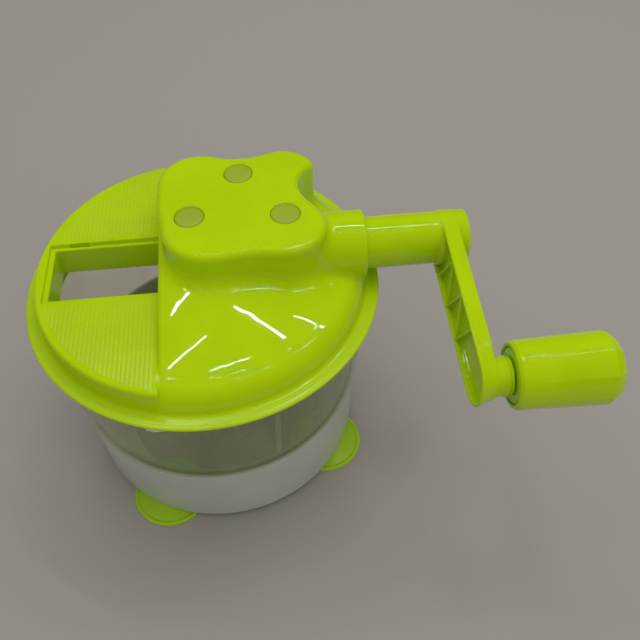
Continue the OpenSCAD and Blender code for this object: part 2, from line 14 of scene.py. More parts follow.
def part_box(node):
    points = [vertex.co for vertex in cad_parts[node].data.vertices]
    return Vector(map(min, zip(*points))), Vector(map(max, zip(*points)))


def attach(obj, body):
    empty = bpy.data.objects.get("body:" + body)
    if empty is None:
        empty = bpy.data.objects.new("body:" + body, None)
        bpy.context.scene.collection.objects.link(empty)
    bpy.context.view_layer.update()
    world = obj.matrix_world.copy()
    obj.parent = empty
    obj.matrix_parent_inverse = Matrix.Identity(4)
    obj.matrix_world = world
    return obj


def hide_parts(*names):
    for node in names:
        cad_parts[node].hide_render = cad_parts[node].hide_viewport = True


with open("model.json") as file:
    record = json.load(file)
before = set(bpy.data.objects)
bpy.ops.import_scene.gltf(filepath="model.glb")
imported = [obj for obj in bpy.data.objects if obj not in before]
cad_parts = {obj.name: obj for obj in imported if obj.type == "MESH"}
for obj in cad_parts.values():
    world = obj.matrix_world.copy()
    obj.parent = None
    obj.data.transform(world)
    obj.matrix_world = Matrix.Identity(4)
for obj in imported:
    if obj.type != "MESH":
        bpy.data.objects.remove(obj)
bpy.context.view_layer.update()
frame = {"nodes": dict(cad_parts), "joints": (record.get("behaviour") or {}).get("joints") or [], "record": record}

MM = 0.001
COARSE = 1.0


# ---------- sizes, read from the frame ----------

def corners(node):
    """Lowest and highest corners of a CAD node, in millimetres."""
    low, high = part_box(node)
    return np.array(low) / MM, np.array(high) / MM


def joint_place(name):
    """A joint's place, in millimetres."""
    place = next(joint["pos_m"] for joint in frame["joints"] if joint["name"] == name)
    return np.array(place) / MM


def solid_centres(node, count, reach=14):
    """Centres in x and y of a node's separate round solids, each smaller than reach."""
    left = np.array([v.co for v in frame["nodes"][node].data.vertices])[:, :2] / MM
    centres = []
    while len(left) and len(centres) < count:
        centre = left[0]
        for _ in range(4):
            near = left[np.hypot(*(left - centre).T) < reach]
            centre = (near.min(0) + near.max(0)) / 2
        centres.append(centre)
        left = left[np.hypot(*(left - centre).T) >= reach]
    return centres


COVER_LOW, COVER_HIGH = corners("gear_cover")
CRANK_LOW, CRANK_HIGH = corners("crank")
GRIP_LOW, GRIP_HIGH = corners("grip")
COLLAR_END, BUSH_R = corners("crank_bush")[1][:2]
SKIRT_FOOT = corners("lid")[0][2]
BOWL_TOP = corners("bowl")[1][2]
RING_LOW, RING_HIGH = (corner[2] for corner in corners("base_ring"))
FEET_REACH = corners("suction_feet")[1][0]
CRANK_Z = joint_place("crank_turn")[2]
GRIP_Y, GRIP_Z = joint_place("grip_spin")[1:]
PLUGS = solid_centres("screw_plugs", 3)
PLATE_SCREWS = solid_centres("plate_screws", 4)

# lid
FLANGE_R = 82.0
FLANGE_Z = 105.0
FLANGE_BAND = 1.7         # height of the flange's lip
FLANGE_COVE = 2.4         # cove from the flange up to the wall
RIM_SEAT_Z = 102.0        # underside of the flange, over the bowl's rim
SEAT_R = 79.9
SKIRT_OUT = 74.0
SKIRT_IN = 71.8
SKIRT_TOP = 103.8
LID_R = 75.3
SHELL_T = 2.3
PLATFORM_Z = 116.8
PLATFORM_LEAN = 1.8       # its wall leans in this much where it meets the dome
CHORD_X = -18.0           # edge between platform and dome
STEP_T = 0.4              # the platform runs this far in under the dome
DOME_Z = 127.0
CROWN_R = 216.0
SHOULDER_R = 7.5
RIB_PITCH = 1.9

# slot for the insert
SLOT_Y = 1.0
SLOT_HALF = 18.0
SLOT_FRONT = SLOT_Y - SLOT_HALF
SLOT_BACK = SLOT_Y + SLOT_HALF
SLOT_L = 52.0
SLOT_X1 = CHORD_X - 0.4
SLOT_X0 = SLOT_X1 - SLOT_L
SLOT_WALL = 1.6           # thickness of the walls round the slot
LEDGE = 2.4               # the insert lies on this ledge
LEDGE_DROP = 1.5
CHUTE_Z = 100.2           # lower end of the slot's walls

# crank's collar and the gear room under the cover, boxes as (lowest, highest) corners
COLLAR_R = 15.5
COLLAR_X0 = 40            # its skin starts here, inside the cover
COLLAR_COVE = 4           # cove from the collar to the dome and the cover
COLLAR_REACH = 2.2        # the lid keeps the cove round the collar out to here
COLLAR_SEAM_X = 46        # and from here on
BLOCK_X1 = 44.0           # outer face of the bearing block, where the collar starts
BORE_R = BUSH_R + 0.05
JOURNAL_R = 6.5
JOURNAL_BORE_R = 6.56
BEARING_BLOCK = (36, -10, 110), (BLOCK_X1 + 0.5, 10, 134)
GEAR_ROOM = (3, -17.6, 100), (14.6, 17.6, 160)
HUB_ROOM = (3, -11.2, 100), (36, 11.2, 160)
POST_R = 3.6              # posts that take the cover's screws
POST_SPAN = 122, 135.3
PLATE_POST_R = 4          # posts that take the gear plate's screws
PLATE_POST_SPAN = 101.2, 123.4

# gear cover: lobes of its plan as (x, y, radius)
COVER_Z = COVER_HIGH[2]
COVER_ROUND = 3.4
COVER_COVE = 6            # cove from the cover's foot to the dome
COVER_T = 2.4
COVER_X1 = 64             # the cover's skin ends here, over the collar
SEAM = 4.2                # height of the cover's seam above the dome
SEAM_LAP = 0.8
LOBE_FILLET = 7
LOBES = [(7, 0, 22), (1.8, 29.6, 19), (40.6, 32, 16), (40, -4, 17.6), (22, 22.5, 22),
         (23.5, 1, 20.6), (-2, 15, 15), (36, 13, 14.4)]
SCOOP = (60.6, 22.5, 13.2)
SCOOP_FILLET = 3.5
WELL_R = 6.55             # wells that take the screw plugs
WELL_DEPTH = 2.3
PIT_R = 3.2               # pits that take the screws' heads
PIT_DEPTH = 3.8
SCREW_HOLE_R = 1.7

# bowl, base ring and feet
BOWL_RIB = -67            # direction of the first rib, in degrees
BOWL_IN_R = 70.0          # wall's inner radius just above the shoulder
BOWL_IN_Z = 47.6
BOWL_FLARE = 4.9 / 50.4   # slope of the wall's inner face
PIN_R = 3.05              # bore for the pivot pin
PIN_Z = 12
PIN_TOP = 20
BASE_R = 70.6
BASE_IN_R = 53
FOOT_R = 19.5
FOOT_PITCH_R = 61.5

# crank and grip
TUBE_R = 12.0
TUBE_X0 = 45.2
BOSS_X1 = 122.4
FLAT_HEIGHT = 5.2         # flat on the journal that carries the bevel gear
FLAT_END = 21
JOURNAL_X1 = 50
CLIP_GROOVE_R = 11
CLIP_GROOVE_SPAN = 48, 49.5
LEVER_X0 = 108.8
LEVER_X1 = 116.2
LEVER_R1 = 12.1
LEVER_R2 = 11.6
LEVER_LEAN = math.radians(5)    # about its own length
POCKET_DEPTH = 2.8
POCKET_WALL = 1.8
RIB_FROM = 15             # the pocket's ribs run from here along the lever
RIB_TO = 60
RIB_RUN = 9               # length and half width of one zig-zag stroke
RIB_SWING = 10
NECK_R = 8.1
NECK_X1 = 123.8
SPINDLE_R = 5
GRIP_R0 = 14.35
GRIP_R1 = 15.65
GRIP_BORE_R = 5.06
GRIP_SIDES = 9            # soft facets at its outer end
CAP_R = 9.05


# ---------- signed distances, negative inside ----------

def join(a, b, fillet):
    """Union with a fillet."""
    overlap = np.maximum(fillet - np.abs(a - b), 0) / fillet
    return np.minimum(a, b) - overlap * overlap * fillet / 4


def trim(a, b, fillet):
    """Intersection whose edge is softened."""
    return -join(-a, -b, fillet)


def round_edge(a, b, radius):
    """Intersection whose edge is rounded to a radius."""
    outside = np.hypot(np.maximum(a + radius, 0), np.maximum(b + radius, 0))
    return outside + np.minimum(np.maximum(a, b) + radius, 0) - radius


def cut(a, b):
    """a with b taken away."""
    return np.maximum(a, -b)


def disc(x, y, centre_x, centre_y, radius):
    return np.hypot(x - centre_x, y - centre_y) - radius


def between(v, low, high):
    return np.maximum(low - v, v - high)


def post(x, y, z, centre, radius, low, high):
    """Upright cylinder."""
    return np.maximum(disc(x, y, *centre, radius), between(z, low, high))


def block(x, y, z, low, high, radius=0.4):
    """Box with rounded edges."""
    sides = [np.abs(v - (a + b) / 2) - (b - a) / 2 + radius for v, a, b in zip((x, y, z), low, high)]
    outside = np.sqrt(sum(np.maximum(s, 0) ** 2 for s in sides))
    inside = np.minimum(np.maximum(np.maximum(sides[0], sides[1]), sides[2]), 0)
    return outside + inside - radius


def band(rho, z, low, high, radius):
    """Ring with a rounded rectangular section, low and high as (radius, height)."""
    a = np.abs(rho - (low[0] + high[0]) / 2) - (high[0] - low[0]) / 2
    b = np.abs(z - (low[1] + high[1]) / 2) - (high[1] - low[1]) / 2
    return round_edge(a, b, radius)


# ---------- lid and gear cover ----------

def crown(x, y, z):
    """Distance above the dome's spherical crown."""
    return np.sqrt(x * x + y * y + (z - DOME_Z + CROWN_R) ** 2) - CROWN_R


def about_shaft(y, z):
    """Distance from the crank's axis."""
    return np.hypot(y, z - CRANK_Z)


def cover_outline(x, y):
    """The cover's plan: round lobes with soft waists, and the scoop on its right side."""
    plan = disc(x, y, *LOBES[0])
    for lobe in LOBES[1:]:
        plan = join(plan, disc(x, y, *lobe), LOBE_FILLET)
    return trim(plan, -disc(x, y, *SCOOP), SCOOP_FILLET)


def lid_core(x, y, z):
    """Platform and dome as one solid, without the collar."""
    wall = np.hypot(x, y) - LID_R
    dome = round_edge(crown(x, y, z), wall, SHOULDER_R)
    foot_z = FLANGE_Z + 1
    rise = np.clip((z - foot_z) / (PLATFORM_Z - foot_z), 0, 1)
    along = np.clip((x + LID_R) / (CHORD_X + LID_R), 0, 1)
    platform = round_edge(z - PLATFORM_Z, wall + PLATFORM_LEAN * rise * rise * along * along, 1.5)
    right = round_edge(dome, CHORD_X - x, 2.2)
    left = round_edge(platform, x - CHORD_X - STEP_T, 1.4)
    both = np.maximum(dome, platform) + 0.12
    return join(join(right, left, 1.8), both, 0.3)


def skin(x, y, z):
    """Outer skin of lid and gear cover together, with coves at the cover's foot and the collar."""
    cover = round_edge(cover_outline(x, y), z - COVER_Z, COVER_ROUND)
    collar = round_edge(about_shaft(y, z) - COLLAR_R, x - COLLAR_END, 0.7)
    body = join(lid_core(x, y, z), cover, COVER_COVE)
    return join(body, np.maximum(collar, COLLAR_X0 - x), COLLAR_COVE)


def lid_shell(x, y, z):
    """Hollow shell of platform, dome and collar, up to the cover's seam."""
    near_collar = np.maximum(about_shaft(y, z) - COLLAR_R - COLLAR_REACH, COLLAR_SEAM_X - x)
    above_seam = np.minimum(crown(x, y, z) - SEAM, near_collar)
    shell = cut(np.maximum(skin(x, y, z), above_seam), lid_core(x, y, z) + SHELL_T)
    return np.maximum(shell, FLANGE_Z - 1.5 - z)


def flange_slope(rho, z):
    """Slope from the flange's underside out to its lip."""
    inside = np.maximum(rho - FLANGE_R + 0.5, z - FLANGE_Z + 0.9)
    below = 0.75 * (rho - FLANGE_R + 2.3) - (z - RIM_SEAT_Z)
    return np.maximum(inside, np.maximum(77 - rho, below))


def lid_flange(rho, z):
    """Flange with its seat over the bowl's rim, and the skirt that hangs inside the bowl."""
    lip = band(rho, z, (76, FLANGE_Z - FLANGE_BAND), (FLANGE_R, FLANGE_Z), 0.84)
    seat = band(rho, z, (SKIRT_IN, RIM_SEAT_Z), (SEAT_R, FLANGE_Z - 0.4), 0.4)
    skirt = band(rho, z, (SKIRT_IN, SKIRT_FOOT), (SKIRT_OUT, SKIRT_TOP), 0.6)
    flange = join(join(lip, seat, 1.2), flange_slope(rho, z), 0.2)
    return join(flange, skirt, 0.5)


def slot_walls(x, y, z):
    """Walls of the chute under the slot, and the shelf that its ledge is cut in."""
    x0 = SLOT_X0 - SLOT_WALL
    x1 = SLOT_X1 + SLOT_WALL
    top = PLATFORM_Z - 0.5
    chute = block(x, y, z, (x0 + LEDGE + 0.2, SLOT_FRONT - SLOT_WALL + LEDGE, CHUTE_Z),
                  (x1, SLOT_BACK + SLOT_WALL - LEDGE, top))
    shelf = block(x, y, z, (x0, SLOT_FRONT - SLOT_WALL, PLATFORM_Z - 4),
                  (x1, SLOT_BACK + SLOT_WALL, top))
    return np.minimum(chute, shelf)


def with_slot(solid, x, y, z):
    """Cuts the insert's recess, the hole through it, and a groove and a notch at its back edge."""
    recess = block(x, y, z, (SLOT_X0, SLOT_FRONT, PLATFORM_Z - LEDGE_DROP),
                   (SLOT_X1, SLOT_BACK, PLATFORM_Z + 9), 0.7)
    hole = block(x, y, z, (SLOT_X0 + LEDGE, SLOT_FRONT + LEDGE, 90),
                 (SLOT_X1, SLOT_BACK - LEDGE, 150), 0.9)
    groove = block(x, y, z, (SLOT_X0 + 0.2, SLOT_BACK - 0.9, PLATFORM_Z - 2.1),
                   (SLOT_X1, SLOT_BACK, PLATFORM_Z), 0.3)
    notch = block(x, y, z, (SLOT_X0 + 9, SLOT_BACK - 0.9, PLATFORM_Z - 3.2),
                  (SLOT_X0 + 17.5, SLOT_BACK + 0.4, PLATFORM_Z - 0.4), 0.3)
    solid = trim(trim(solid, -recess, 0.8), -hole, 0.8)
    return trim(solid, -np.minimum(groove, notch), 0.3)


def gear_supports(x, y, z):
    """Bearing block, the collar's core, and the posts that take the screws."""
    collar = np.maximum(about_shaft(y, z) - COLLAR_R, between(x, BLOCK_X1, COLLAR_END - 1))
    solid = np.minimum(block(x, y, z, *BEARING_BLOCK), collar)
    for centre in PLUGS:
        solid = np.minimum(solid, post(x, y, z, centre, POST_R, *POST_SPAN))
    for centre in PLATE_SCREWS:
        solid = np.minimum(solid, post(x, y, z, centre, PLATE_POST_R, *PLATE_POST_SPAN))
    return solid


def lid_distance(x, y, z):
    """Lid: shell, flange, slot, supports for the gears, and the room that they turn in."""
    rho = np.hypot(x, y)
    wall_foot = band(rho, z, (LID_R - SHELL_T, RIM_SEAT_Z), (LID_R - 0.05, FLANGE_Z + 2), 0.2)
    wall = np.minimum(lid_shell(x, y, z), wall_foot)
    flange = lid_flange(rho, z)
    solid = np.where(z > FLANGE_Z - 0.3, join(wall, flange, FLANGE_COVE), join(wall, flange, 0.4))
    solid = np.minimum(solid, slot_walls(x, y, z))
    solid = np.minimum(solid, gear_supports(x, y, z))
    solid = with_slot(solid, x, y, z)
    solid = cut(solid, np.minimum(block(x, y, z, *GEAR_ROOM), block(x, y, z, *HUB_ROOM)))
    shaft = about_shaft(y, z)
    bore = np.minimum(np.maximum(shaft - BORE_R, BLOCK_X1 - x),
                      np.maximum(shaft - JOURNAL_BORE_R, between(x, 30, JOURNAL_X1)))
    return trim(solid, -bore, 0.4)


def cover_distance(x, y, z):
    """Gear cover: a hollow cap with a boss and a well for each of its screws."""
    outer = np.maximum(skin(x, y, z), SEAM - SEAM_LAP - crown(x, y, z))
    outer = cut(outer, np.maximum(about_shaft(y, z) - COLLAR_R - 0.4, COLLAR_X0 + 2 - x))
    outer = np.maximum(outer, x - COVER_X1)
    solid = cut(outer, np.maximum(cover_outline(x, y) + COVER_T, z - COVER_Z + COVER_T))
    for centre in PLUGS:
        solid = np.minimum(solid, post(x, y, z, centre, WELL_R + 1.6, 135.4, COVER_Z - 1))
    for centre in PLUGS:
        well = np.maximum(disc(x, y, *centre, WELL_R), COVER_Z - WELL_DEPTH - z)
        pit = np.maximum(disc(x, y, *centre, PIT_R), COVER_Z - PIT_DEPTH - z)
        solid = trim(solid, -well, 1.2)
        solid = cut(solid, np.minimum(pit, disc(x, y, *centre, SCREW_HOLE_R)))
    return solid


# ---------- crank ----------

LEVER = np.array([GRIP_Y, GRIP_Z - CRANK_Z])
LEVER_L = float(np.hypot(*LEVER))
LEVER_U = LEVER / LEVER_L


def lever_plan(u, v, r1, r2):
    """Two round ends joined by straight sides; u runs along the lever."""
    lean = (r1 - r2) / LEVER_L
    across = math.sqrt(1 - lean * lean)
    v = np.abs(v)
    along = u * across - v * lean
    side = u * lean + v * across - r1
    tip = np.hypot(u - LEVER_L, v) - r2
    return np.where(along < 0, np.hypot(u, v) - r1, np.where(along > LEVER_L * across, tip, side))


def lever_ribs(u, v):
    """Zig-zag ribs in the lever's pocket."""
    swing = 2 * RIB_SWING
    middle = np.abs((u - RIB_FROM) / RIB_RUN % 2 - 1) * swing - RIB_SWING
    slope = math.hypot(1, swing / RIB_RUN)
    return np.maximum(np.abs(v - middle) / slope - 0.6, between(u, RIB_FROM, RIB_TO))


def lever_distance(u, v, w, shaft):
    """Lever with its ribbed pocket; w runs across it and shaft is the distance from the axis."""
    share = np.clip((u - LEVER_L + 11) / 13, 0, 1)
    narrowing = 0.5 * np.maximum(w - LEVER_X0 - 1, 0) * share * share * (3 - 2 * share)
    outline = lever_plan(u, v, LEVER_R1, LEVER_R2) + narrowing
    plate = round_edge(outline, between(w, LEVER_X0, LEVER_X1), 0.9)
    pocket = lever_plan(u, v, LEVER_R1 - POCKET_WALL, LEVER_R2 - POCKET_WALL)
    pocket = np.maximum(pocket, w - LEVER_X0 - POCKET_DEPTH)
    pocket = np.maximum(pocket, TUBE_R + 1 - shaft)
    return trim(plate, -trim(pocket, -lever_ribs(u, v), 0.8), 1.2)


def neck_distance(x, grip_rho):
    """Neck from the lever to the grip, with a rounded collar at its end."""
    neck = np.maximum(grip_rho - NECK_R, between(x, LEVER_X1 - 3, NECK_X1))
    collar = np.hypot(np.maximum(grip_rho - NECK_R + 0.4, 0), x - NECK_X1 + 2.6) - 0.9
    return join(neck, collar, 0.8)


def crank_distance(x, y, z):
    """Crank: journal and tube on its axis, lever, neck, and the spindle that the grip turns on."""
    up = z - CRANK_Z
    shaft = np.hypot(y, up)
    grip_rho = np.hypot(y - GRIP_Y, z - GRIP_Z)
    u = y * LEVER_U[0] + up * LEVER_U[1]
    v = -y * LEVER_U[1] + up * LEVER_U[0]
    middle = (LEVER_X0 + LEVER_X1) / 2
    w = middle + v * math.sin(LEVER_LEAN) + (x - middle) * math.cos(LEVER_LEAN)
    v = v * math.cos(LEVER_LEAN) - (x - middle) * math.sin(LEVER_LEAN)
    tube = round_edge(shaft - TUBE_R, between(x, TUBE_X0, BOSS_X1), 1.3)
    solid = join(lever_distance(u, v, w, shaft), tube, 1.5)
    solid = join(solid, neck_distance(x, grip_rho), 3.5)
    spindle = np.maximum(grip_rho - SPINDLE_R, between(x, LEVER_X1, CRANK_HIGH[0]))
    journal = np.maximum(shaft - JOURNAL_R, between(x, CRANK_LOW[0], JOURNAL_X1))
    solid = np.minimum(solid, np.minimum(spindle, journal))
    flat = np.maximum(FLAT_HEIGHT - up, x - FLAT_END)
    clip_groove = np.maximum(CLIP_GROOVE_R - shaft, between(x, *CLIP_GROOVE_SPAN))
    return cut(solid, np.minimum(flat, clip_groove))


# ---------- meshes ----------

def level_values(distance, axes):
    """The distance at every grid point, worked out slab by slab to save memory."""
    values = np.empty([len(axis) for axis in axes], np.float32)
    slab = 16
    for start in range(0, len(axes[0]), slab):
        part = axes[0][start:start + slab]
        values[start:start + slab] = distance(part[:, None, None], axes[1][None, :, None],
                                              axes[2][None, None, :])
    return values


def net_points(values, cells, corners_of_cell):
    """Each cell's vertex, in grid steps: the mean of the places where the level set cuts its edges."""
    corner = {s: values[tuple((cells + s).T)] for s in corners_of_cell}
    place = np.zeros((len(cells), 3))
    crossings = np.zeros(len(cells))
    for a in corners_of_cell:
        for axis in range(3):
            if a[axis]:
                continue
            b = tuple(1 if i == axis else a[i] for i in range(3))
            crossed = (corner[a] < 0) != (corner[b] < 0)
            share = np.where(crossed, corner[a] / np.where(crossed, corner[a] - corner[b], 1), 0)
            place += crossed[:, None] * np.array(a)
            place[:, axis] += share
            crossings += crossed
    return cells + place / crossings[:, None]


def net_quads(inside, index, axis):
    """Quads across the grid edges along one axis that the level set cuts."""
    shape = index.shape
    u, w = (axis + 1) % 3, (axis + 2) % 3
    below = np.take(inside, range(0, shape[axis]), axis)
    above = np.take(inside, range(1, shape[axis] + 1), axis)
    base = np.argwhere(below != above)
    base = base[(base[:, u] > 0) & (base[:, w] > 0) & (base[:, u] < shape[u]) & (base[:, w] < shape[w])]
    sides = []
    for du, dw in ((1, 1), (0, 1), (0, 0), (1, 0)):
        cell = base.copy()
        cell[:, u] -= du
        cell[:, w] -= dw
        sides.append(index[tuple(cell.T)])
    quads = np.stack(sides, 1)
    flip = ~below[tuple(base.T)]
    quads[flip] = quads[flip][:, ::-1]
    return quads


def surface_net(distance, low, high, step):
    """Vertices, quads and normals of a level set; the vertices are moved onto the surface."""
    step *= COARSE
    count = np.ceil((np.array(high) - np.array(low)) / step).astype(int) + 1
    values = level_values(distance, [low[i] + step * np.arange(count[i]) for i in range(3)])
    inside = values < 0
    shape = tuple(count - 1)
    corners_of_cell = [(i, j, k) for i in (0, 1) for j in (0, 1) for k in (0, 1)]
    total = np.zeros(shape, np.int8)
    for i, j, k in corners_of_cell:
        total += inside[i:shape[0] + i, j:shape[1] + j, k:shape[2] + k]
    cells = np.argwhere((total > 0) & (total < 8))
    index = np.full(shape, -1, np.int32)
    index[tuple(cells.T)] = np.arange(len(cells))
    points = np.array(low) + step * net_points(values, cells, corners_of_cell)
    quads = np.concatenate([net_quads(inside, index, axis) for axis in range(3)])
    for _ in range(3):
        value, slope = gradient(distance, points)
        size = np.maximum((slope * slope).sum(1), 0.25)
        move = -value[:, None] * slope / size[:, None]
        reach = np.linalg.norm(move, axis=1, keepdims=True)
        points += move * np.minimum(1, 0.4 * step / np.maximum(reach, 1e-9))
    normals = gradient(distance, points)[1]
    normals /= np.maximum(np.linalg.norm(normals, axis=1, keepdims=True), 1e-9)
    return points, quads, normals


def gradient(distance, points, reach=0.03):
    """The distance at points and its slope by central differences."""
    value = distance(*points.T)
    slope = np.empty_like(points)
    for axis in range(3):
        offset = np.zeros(3)
        offset[axis] = reach
        slope[:, axis] = (distance(*(points + offset).T) - distance(*(points - offset).T)) / (2 * reach)
    return value, slope


def smooth_mesh(name, points, quads, normals=None):
    """A smooth mesh object from millimetre points and quads."""
    mesh = bpy.data.meshes.new(name)
    mesh.vertices.add(len(points))
    mesh.vertices.foreach_set("co", (np.asarray(points) * MM).astype(np.float32).ravel())
    mesh.loops.add(len(quads) * 4)
    mesh.loops.foreach_set("vertex_index", np.asarray(quads, np.int32).ravel())
    mesh.polygons.add(len(quads))
    mesh.polygons.foreach_set("loop_start", np.arange(len(quads), dtype=np.int32) * 4)
    mesh.polygons.foreach_set("use_smooth", np.ones(len(quads), bool))
    mesh.update(calc_edges=True)
    mesh.validate()
    if normals is not None and len(mesh.vertices) == len(normals):
        mesh.normals_split_custom_set_from_vertices(normals.tolist())
    piece = bpy.data.objects.new(name, mesh)
    bpy.context.scene.collection.objects.link(piece)
    return piece


def rounded(outline, steps=6):
    """A closed outline from (r, z, radius) corners, each rounded to its radius."""
    points = []
    places = [np.array(corner[:2], float) for corner in outline]
    for i, (corner, (_, _, radius)) in enumerate(zip(places, outline)):
        if radius == 0:
            points.append(corner)
            continue
        before = places[i - 1] - corner
        after = places[(i + 1) % len(places)] - corner
        a = before / np.linalg.norm(before)
        b = after / np.linalg.norm(after)
        half = math.acos(max(-1, min(1, float(a @ b)))) / 2
        reach = min(radius / math.tan(half), 0.49 * np.linalg.norm(before), 0.49 * np.linalg.norm(after))
        middle = corner + (a + b) / np.linalg.norm(a + b) * reach * math.tan(half) / math.sin(half)
        start = corner + a * reach - middle
        end = corner + b * reach - middle
        turn = np.sign(start[0] * end[1] - start[1] * end[0])
        for s in range(steps + 1):
            angle = turn * (math.pi - 2 * half) * s / steps
            c, n = math.cos(angle), math.sin(angle)
            points.append(middle + np.array([c * start[0] - n * start[1], n * start[0] + c * start[1]]))
    return np.array(points)


def lathe(outline, segments=192, shape=None):
    """Points and quads of a closed (radius, height) outline turned about Z. shape(angle, r, z)
    may change each ring's radius."""
    angles = np.arange(segments) * 2 * math.pi / segments
    count = len(outline)
    points = np.empty((segments, count, 3))
    for i, angle in enumerate(angles):
        r = outline[:, 0] if shape is None else shape(angle, outline[:, 0], outline[:, 1])
        points[i, :, 0] = r * math.cos(angle)
        points[i, :, 1] = r * math.sin(angle)
        points[i, :, 2] = outline[:, 1]
    i, j = np.meshgrid(np.arange(segments), np.arange(count), indexing="ij")
    a = i * count + j
    b = i * count + (j + 1) % count
    c = (i + 1) % segments * count + (j + 1) % count
    d = (i + 1) % segments * count + j
    return points.reshape(-1, 3), np.stack([d, c, b, a], -1).reshape(-1, 4)


def loft(rows):
    """Points and quads of a tube over rows of points, each row a closed section."""
    points = np.array(rows, float)
    row_count, count = points.shape[:2]
    i, j = np.meshgrid(np.arange(row_count - 1), np.arange(count), indexing="ij")
    a = i * count + j
    b = i * count + (j + 1) % count
    return points.reshape(-1, 3), np.stack([a, a + count, b + count, b], -1).reshape(-1, 4)


def turned_over(part):
    """The same part with its faces the other way round."""
    return part[0], part[1][:, ::-1]


def at_centres(part, centres):
    """A copy of a part at each centre in x and y."""
    points, quads = part
    return merged([(points + np.array([*centre, 0]), quads) for centre in centres])


def turned_to_x(points, x, y, z):
    """Points made about Z, laid along X from x."""
    return np.stack([points[:, 2] + x, points[:, 0] + y, points[:, 1] + z], 1)


def merged(parts):
    """One set of points and quads from several."""
    points, quads, start = [], [], 0
    for part_points, part_quads in parts:
        points.append(part_points)
        quads.append(part_quads + start)
        start += len(part_points)
    return np.concatenate(points), np.concatenate(quads)


# ---------- materials ----------

def shader(name, colour, roughness, **sockets):
    """A Principled material; uniform values are set on the shader's own sockets."""
    material = bpy.data.materials.new(name)
    material.use_nodes = True
    nodes = material.node_tree.nodes
    principled = nodes["Principled BSDF"]
    principled.inputs["Base Color"].default_value = (*colour, 1)
    principled.inputs["Roughness"].default_value = roughness
    for socket, value in sockets.items():
        principled.inputs[socket].default_value = value
    return material, nodes, material.node_tree.links, principled


def noise_node(nodes, links, scale, detail=3.0, rough=0.55, stretch=(1, 1, 1)):
    """Noise in object space; scale counts features per metre."""
    place = nodes.new("ShaderNodeTexCoord")
    mapping = nodes.new("ShaderNodeMapping")
    mapping.inputs["Scale"].default_value = stretch
    texture = nodes.new("ShaderNodeTexNoise")
    texture.inputs["Scale"].default_value = scale
    texture.inputs["Detail"].default_value = detail
    texture.inputs["Roughness"].default_value = rough
    links.new(place.outputs["Object"], mapping.inputs["Vector"])
    links.new(mapping.outputs["Vector"], texture.inputs["Vector"])
    return texture.outputs["Fac"]


def ramp(nodes, links, source, stops):
    """Colour ramp over a value; stops are (place, colour) pairs."""
    node = nodes.new("ShaderNodeValToRGB")
    for element, (place, colour) in zip(node.color_ramp.elements, stops):
        element.position = place
        element.color = (*colour, 1)
    links.new(source, node.inputs["Fac"])
    return node.outputs["Color"]


def spread(nodes, links, source, low, high, source_low=0.3, source_high=0.7):
    """Maps a value's usual range to low..high."""
    node = nodes.new("ShaderNodeMapRange")
    node.inputs["From Min"].default_value = source_low
    node.inputs["From Max"].default_value = source_high
    node.inputs["To Min"].default_value = low
    node.inputs["To Max"].default_value = high
    links.new(source, node.inputs["Value"])
    return node.outputs["Result"]


def maths(nodes, links, operation, first, second):
    """A math node; each operand is a socket or a number."""
    node = nodes.new("ShaderNodeMath")
    node.operation = operation
    for place, value in zip(node.inputs, (first, second)):
        if isinstance(value, (int, float)):
            place.default_value = value
        else:
            links.new(value, place)
    return node.outputs["Value"]


def bump(nodes, links, principled, height, strength, distance=0.0006):
    node = nodes.new("ShaderNodeBump")
    node.inputs["Strength"].default_value = strength
    node.inputs["Distance"].default_value = distance
    links.new(height, node.inputs["Height"])
    links.new(node.outputs["Normal"], principled.inputs["Normal"])


def moulded(name, colour, roughness, gloss_drift=0.05, wave=0.25, satin_from=None, **sockets):
    """Moulded plastic or metal: slow waves in the surface, faint flow marks, and handling
    marks that change the gloss. It is satin outside the radius satin_from."""
    material, nodes, links, principled = shader(name, colour, roughness, **sockets)
    dark = tuple(c * 0.96 for c in colour)
    light = tuple(min(1, c * 1.04) for c in colour)
    flow = noise_node(nodes, links, 38, 2)
    links.new(ramp(nodes, links, flow, [(0.3, dark), (0.7, light)]), principled.inputs["Base Color"])
    marks = noise_node(nodes, links, 260, 4, 0.6, (1, 1.6, 1))
    gloss = spread(nodes, links, marks, roughness - gloss_drift, roughness + gloss_drift)
    if satin_from:
        gloss = satin_outside(nodes, links, gloss, satin_from * MM)
    links.new(gloss, principled.inputs["Roughness"])
    swell = noise_node(nodes, links, 70, 1.5)
    bump(nodes, links, principled, swell, wave)
    return material


def satin_outside(nodes, links, gloss, radius):
    """Adds roughness beyond a radius about the object's Z axis."""
    place = nodes.new("ShaderNodeTexCoord")
    flat = nodes.new("ShaderNodeVectorMath")
    flat.operation = "MULTIPLY"
    flat.inputs[1].default_value = (1, 1, 0)
    reach = nodes.new("ShaderNodeVectorMath")
    reach.operation = "LENGTH"
    links.new(place.outputs["Object"], flat.inputs[0])
    links.new(flat.outputs["Vector"], reach.inputs[0])
    half = 0.5 * MM
    extra = spread(nodes, links, reach.outputs["Value"], 0, 0.16, radius - half, radius + half)
    return maths(nodes, links, "ADD", extra, gloss)


